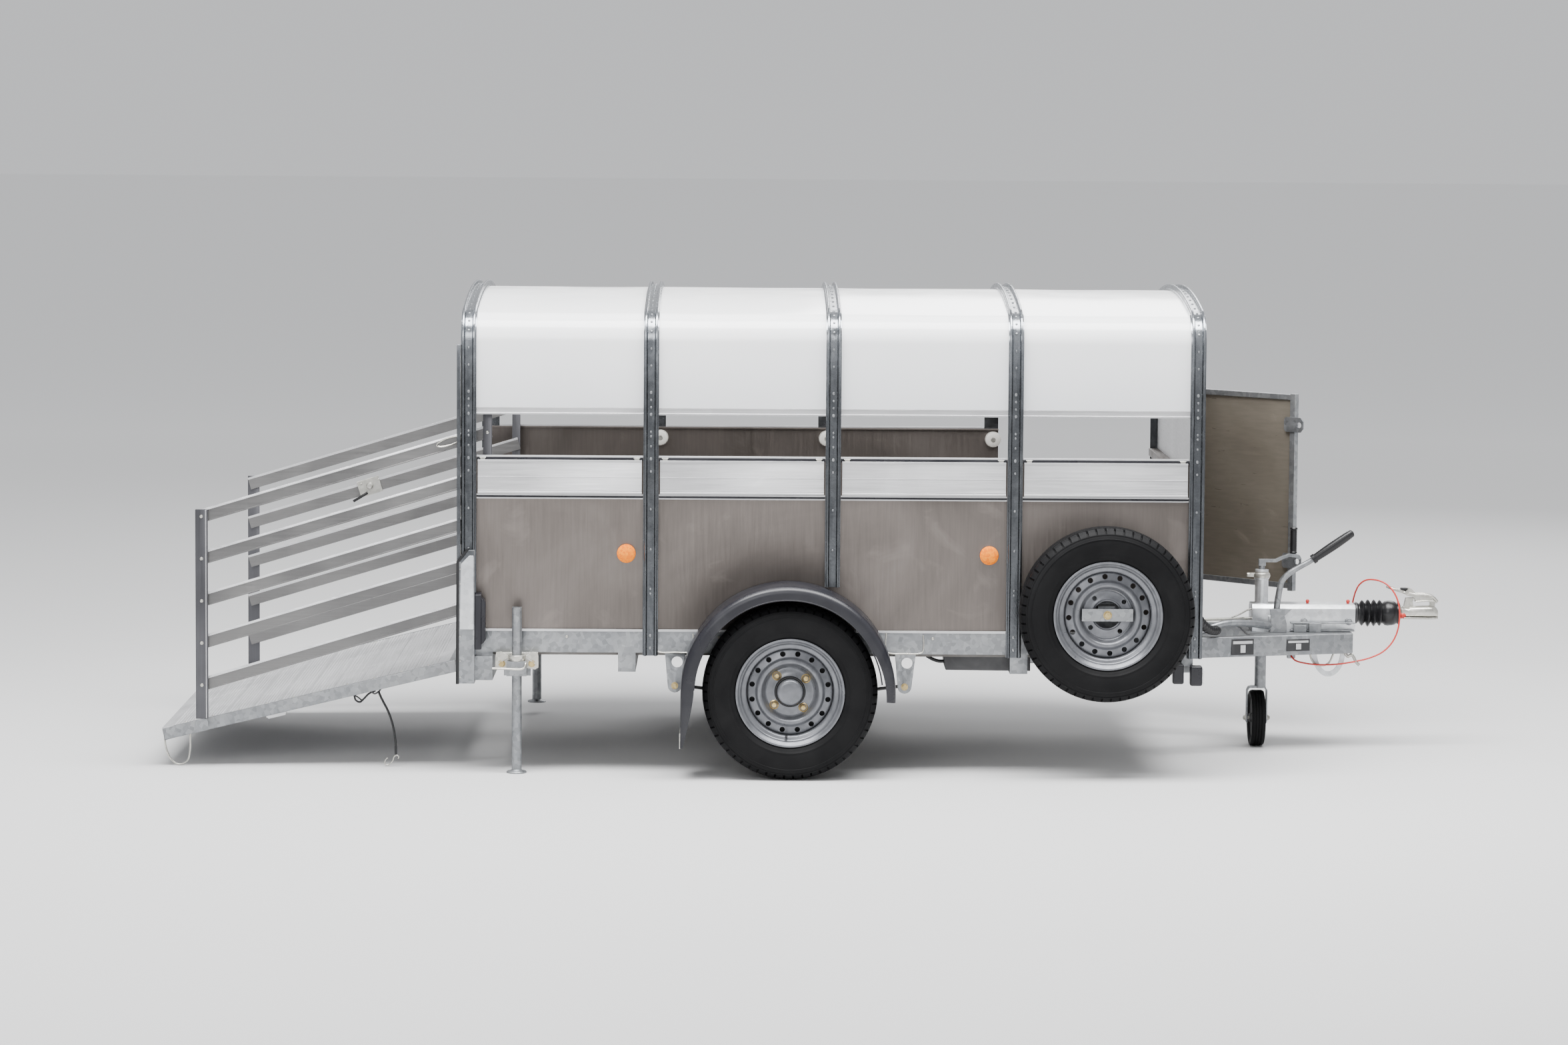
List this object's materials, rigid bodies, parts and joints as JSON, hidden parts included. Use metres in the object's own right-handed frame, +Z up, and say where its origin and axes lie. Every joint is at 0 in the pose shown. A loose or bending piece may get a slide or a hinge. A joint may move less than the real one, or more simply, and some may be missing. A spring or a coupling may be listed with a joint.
{
  "type": "livestock trailer",
  "caption": "Single-axle livestock trailer with a domed roof on steel hoops, vent flaps, a rear loading ramp with folding side gates, spare wheel and braked drawbar.",
  "frame": {"origin": "on the ground under the middle of the whole trailer, ramp down", "axes": "+X towards the tow coupling, +Y to the trailer's left side, +Z up"},
  "size_m": [4.486, 1.96, 1.65],
  "materials": {
    "galvanised": "hot-dip galvanised, light spangle",
    "hoop_steel": "rolled galvanised channel, darker",
    "mill_aluminium": "mill-finish sheet, brown-grey, dull",
    "bright_aluminium": "extruded, satin",
    "deck_aluminium": "ribbed deck planks, satin",
    "door_panel": "mill-finish sheet in a galvanised frame",
    "roof_plastic": "white translucent sheet, smooth",
    "floor_board": "sealed plywood, matt grey",
    "tyre_rubber": "black, matt",
    "wheel_silver": "silver lacquer",
    "black_plastic": "black, satin",
    "spring_steel": "black paint",
    "black_rubber": "black, matt",
    "zinc": "zinc plated",
    "red_sheath": "red plastic sheath on steel cable"
  },
  "bodies": {
    "chassis": {"chassis_frame": "galvanised", "drawbar_frame": "galvanised", "floor_deck": "floor_board", "right_wall": "mill_aluminium", "left_wall": "mill_aluminium", "front_wall": "mill_aluminium", "hoop_1": "hoop_steel", "hoop_2": "hoop_steel", "hoop_3": "hoop_steel", "hoop_4": "hoop_steel", "hoop_5": "hoop_steel", "roof_sheet": "roof_plastic", "roof_edge_rail": "bright_aluminium", "axle_beam": "galvanised", "right_leaf_spring": "spring_steel", "left_leaf_spring": "spring_steel", "right_mudguard": "black_plastic", "left_mudguard": "black_plastic", "spare_wheel": "tyre_rubber", "spare_carrier": "galvanised", "coupling_housing": "galvanised", "gaiter": "black_rubber", "breakaway_cable": "red_sheath"},
    "right_wheel": {"right_tyre": "tyre_rubber", "right_rim": "wheel_silver"},
    "left_wheel": {"left_tyre": "tyre_rubber", "left_rim": "wheel_silver"},
    "ramp": {"ramp": "deck_aluminium", "rubber_strap": "black_rubber", "strap_hook": "zinc"},
    "right_gate": {"right_gate_inner_post": "galvanised"},
    "right_gate_bar_1": {"right_gate_bar_1": "bright_aluminium"},
    "right_gate_bar_2": {"right_gate_bar_2": "bright_aluminium"},
    "right_gate_bar_3": {"right_gate_bar_3": "bright_aluminium"},
    "right_gate_bar_4": {"right_gate_bar_4": "bright_aluminium"},
    "right_gate_bar_5": {"right_gate_bar_5": "bright_aluminium"},
    "right_gate_end": {"right_gate_outer_post": "galvanised"},
    "left_gate": {"left_gate_inner_post": "galvanised"},
    "left_gate_bar_1": {"left_gate_bar_1": "bright_aluminium"},
    "left_gate_bar_2": {"left_gate_bar_2": "bright_aluminium"},
    "left_gate_bar_3": {"left_gate_bar_3": "bright_aluminium"},
    "left_gate_bar_4": {"left_gate_bar_4": "bright_aluminium"},
    "left_gate_bar_5": {"left_gate_bar_5": "bright_aluminium"},
    "left_gate_end": {"left_gate_outer_post": "galvanised"},
    "side_door": {"side_door": "door_panel"},
    "right_flap_1": {"right_flap_1": "bright_aluminium"},
    "right_flap_2": {"right_flap_2": "bright_aluminium"},
    "right_flap_3": {"right_flap_3": "bright_aluminium"},
    "right_flap_4": {"right_flap_4": "bright_aluminium"},
    "left_flap_1": {"left_flap_1": "bright_aluminium"},
    "left_flap_2": {"left_flap_2": "bright_aluminium"},
    "left_flap_3": {"left_flap_3": "bright_aluminium"},
    "right_stand": {"right_prop_stand": "galvanised"},
    "left_stand": {"left_prop_stand": "galvanised"},
    "jockey_handle": {"jockey_crank": "galvanised"},
    "jockey_leg": {"jockey_stem": "galvanised"},
    "jockey_roller": {"jockey_wheel": "tyre_rubber"},
    "handbrake": {"handbrake_lever": "galvanised"},
    "draw_shaft": {"coupling_head": "zinc"},
    "coupling_release": {"coupling_handle": "zinc"}
  },
  "joints": [
    {"name": "right_wheel_spin", "type": "hinge", "parent": "chassis", "child": "right_wheel", "pos_m": [-0.08804, -0.8825, 0.298], "axis": [0, 1, 0], "continuous": true},
    {"name": "left_wheel_spin", "type": "hinge", "parent": "chassis", "child": "left_wheel", "pos_m": [-0.08804, 0.8825, 0.298], "axis": [0, 1, 0], "continuous": true},
    {"name": "ramp_hinge", "type": "hinge", "parent": "chassis", "child": "ramp", "pos_m": [-1.23104, 0, 0.352], "axis": [0, 1, 0], "range_deg": [0, 103]},
    {"name": "right_gate_swing", "type": "hinge", "parent": "chassis", "child": "right_gate", "pos_m": [-1.12404, -0.716, 0.9], "axis": [0, 0, 1], "range_deg": [-90, 0]},
    {"name": "right_bar_1_tilt", "type": "hinge", "parent": "right_gate", "child": "right_gate_bar_1", "pos_m": [-1.12404, -0.704, 1.16067], "axis": [0, 1, 0], "range_deg": [-0.5, 17]},
    {"name": "right_bar_2_tilt", "type": "hinge", "parent": "right_gate", "child": "right_gate_bar_2", "pos_m": [-1.12404, -0.704, 1.01567], "axis": [0, 1, 0], "range_deg": [-0.5, 17]},
    {"name": "right_bar_3_tilt", "type": "hinge", "parent": "right_gate", "child": "right_gate_bar_3", "pos_m": [-1.12404, -0.704, 0.87067], "axis": [0, 1, 0], "range_deg": [-0.5, 17]},
    {"name": "right_bar_4_tilt", "type": "hinge", "parent": "right_gate", "child": "right_gate_bar_4", "pos_m": [-1.12404, -0.704, 0.72567], "axis": [0, 1, 0], "range_deg": [-0.5, 17]},
    {"name": "right_bar_5_tilt", "type": "hinge", "parent": "right_gate", "child": "right_gate_bar_5", "pos_m": [-1.12404, -0.704, 0.58067], "axis": [0, 1, 0], "range_deg": [-0.5, 17]},
    {"name": "right_gate_end_tilt", "type": "hinge", "parent": "right_gate_bar_1", "child": "right_gate_end", "pos_m": [-2.10004, -0.704, 0.866], "axis": [0, 1, 0], "range_deg": [-17, 0.5]},
    {"name": "left_gate_swing", "type": "hinge", "parent": "chassis", "child": "left_gate", "pos_m": [-1.09404, 0.716, 0.9], "axis": [0, 0, 1], "range_deg": [0, 90]},
    {"name": "left_bar_1_tilt", "type": "hinge", "parent": "left_gate", "child": "left_gate_bar_1", "pos_m": [-1.09404, 0.704, 1.16067], "axis": [0, 1, 0], "range_deg": [-0.5, 17]},
    {"name": "left_bar_2_tilt", "type": "hinge", "parent": "left_gate", "child": "left_gate_bar_2", "pos_m": [-1.09404, 0.704, 1.01567], "axis": [0, 1, 0], "range_deg": [-0.5, 17]},
    {"name": "left_bar_3_tilt", "type": "hinge", "parent": "left_gate", "child": "left_gate_bar_3", "pos_m": [-1.09404, 0.704, 0.87067], "axis": [0, 1, 0], "range_deg": [-0.5, 17]},
    {"name": "left_bar_4_tilt", "type": "hinge", "parent": "left_gate", "child": "left_gate_bar_4", "pos_m": [-1.09404, 0.704, 0.72567], "axis": [0, 1, 0], "range_deg": [-0.5, 17]},
    {"name": "left_bar_5_tilt", "type": "hinge", "parent": "left_gate", "child": "left_gate_bar_5", "pos_m": [-1.09404, 0.704, 0.58067], "axis": [0, 1, 0], "range_deg": [-0.5, 17]},
    {"name": "left_gate_end_tilt", "type": "hinge", "parent": "left_gate_bar_1", "child": "left_gate_end", "pos_m": [-2.07004, 0.704, 0.866], "axis": [0, 1, 0], "range_deg": [-17, 0.5]},
    {"name": "side_door_hinge", "type": "hinge", "parent": "chassis", "child": "side_door", "pos_m": [1.33296, 0.806, 0.885], "axis": [0, 0, 1], "range_deg": [0, 227.5]},
    {"name": "right_flap_1_hinge", "type": "hinge", "parent": "chassis", "child": "right_flap_1", "pos_m": [-0.87504, -0.771, 1.0785], "axis": [-1, 0, 0], "range_deg": [0, 180]},
    {"name": "right_flap_2_hinge", "type": "hinge", "parent": "chassis", "child": "right_flap_2", "pos_m": [-0.25504, -0.771, 1.0785], "axis": [-1, 0, 0], "range_deg": [0, 180]},
    {"name": "right_flap_3_hinge", "type": "hinge", "parent": "chassis", "child": "right_flap_3", "pos_m": [0.36496, -0.771, 1.0785], "axis": [-1, 0, 0], "range_deg": [0, 180]},
    {"name": "right_flap_4_hinge", "type": "hinge", "parent": "chassis", "child": "right_flap_4", "pos_m": [0.98496, -0.771, 1.0785], "axis": [-1, 0, 0], "range_deg": [0, 180]},
    {"name": "left_flap_1_hinge", "type": "hinge", "parent": "chassis", "child": "left_flap_1", "pos_m": [-0.87504, 0.771, 1.0785], "axis": [1, 0, 0], "range_deg": [0, 180]},
    {"name": "left_flap_2_hinge", "type": "hinge", "parent": "chassis", "child": "left_flap_2", "pos_m": [-0.25504, 0.771, 1.0785], "axis": [1, 0, 0], "range_deg": [0, 180]},
    {"name": "left_flap_3_hinge", "type": "hinge", "parent": "chassis", "child": "left_flap_3", "pos_m": [0.36496, 0.771, 1.0785], "axis": [1, 0, 0], "range_deg": [0, 180]},
    {"name": "right_stand_slide", "type": "slide", "parent": "chassis", "child": "right_stand", "axis": [0, 0, 1], "range_m": [0, 0.25]},
    {"name": "left_stand_slide", "type": "slide", "parent": "chassis", "child": "left_stand", "axis": [0, 0, 1], "range_m": [0, 0.25]},
    {"name": "jockey_crank_turn", "type": "hinge", "parent": "chassis", "child": "jockey_handle", "pos_m": [1.60796, 0, 0.66], "axis": [0, 0, 1], "range_deg": [0, 8640]},
    {"name": "jockey_stem_lift", "type": "slide", "parent": "chassis", "child": "jockey_leg", "axis": [0, 0, 1], "range_m": [0, 0.12]},
    {"name": "jockey_wheel_spin", "type": "hinge", "parent": "jockey_leg", "child": "jockey_roller", "pos_m": [1.59596, 0, 0.1], "axis": [1, 0, 0], "continuous": true},
    {"name": "handbrake_pull", "type": "hinge", "parent": "chassis", "child": "handbrake", "pos_m": [1.65296, -0.078, 0.442], "axis": [0, 1, 0], "range_deg": [-35, 15]},
    {"name": "draw_shaft_slide", "type": "slide", "parent": "chassis", "child": "draw_shaft", "axis": [1, 0, 0], "range_m": [-0.08, 0], "deforming": ["gaiter"]},
    {"name": "coupling_handle_lift", "type": "hinge", "parent": "draw_shaft", "child": "coupling_release", "pos_m": [2.21996, 0, 0.541], "axis": [0, 1, 0], "range_deg": [0, 40]}
  ],
  "couplings": [
    {"joint": "right_bar_1_tilt", "follows": "right_gate_swing", "ratio": -0.18667},
    {"joint": "right_bar_2_tilt", "follows": "right_gate_swing", "ratio": -0.18667},
    {"joint": "right_bar_3_tilt", "follows": "right_gate_swing", "ratio": -0.18667},
    {"joint": "right_bar_4_tilt", "follows": "right_gate_swing", "ratio": -0.18667},
    {"joint": "right_bar_5_tilt", "follows": "right_gate_swing", "ratio": -0.18667},
    {"joint": "right_gate_end_tilt", "follows": "right_gate_swing", "ratio": 0.18667},
    {"joint": "left_bar_1_tilt", "follows": "left_gate_swing", "ratio": 0.18667},
    {"joint": "left_bar_2_tilt", "follows": "left_gate_swing", "ratio": 0.18667},
    {"joint": "left_bar_3_tilt", "follows": "left_gate_swing", "ratio": 0.18667},
    {"joint": "left_bar_4_tilt", "follows": "left_gate_swing", "ratio": 0.18667},
    {"joint": "left_bar_5_tilt", "follows": "left_gate_swing", "ratio": 0.18667},
    {"joint": "left_gate_end_tilt", "follows": "left_gate_swing", "ratio": -0.18667},
    {"joint": "jockey_stem_lift", "follows": "jockey_crank_turn", "m_per_rad": 0.00079577}
  ]
}
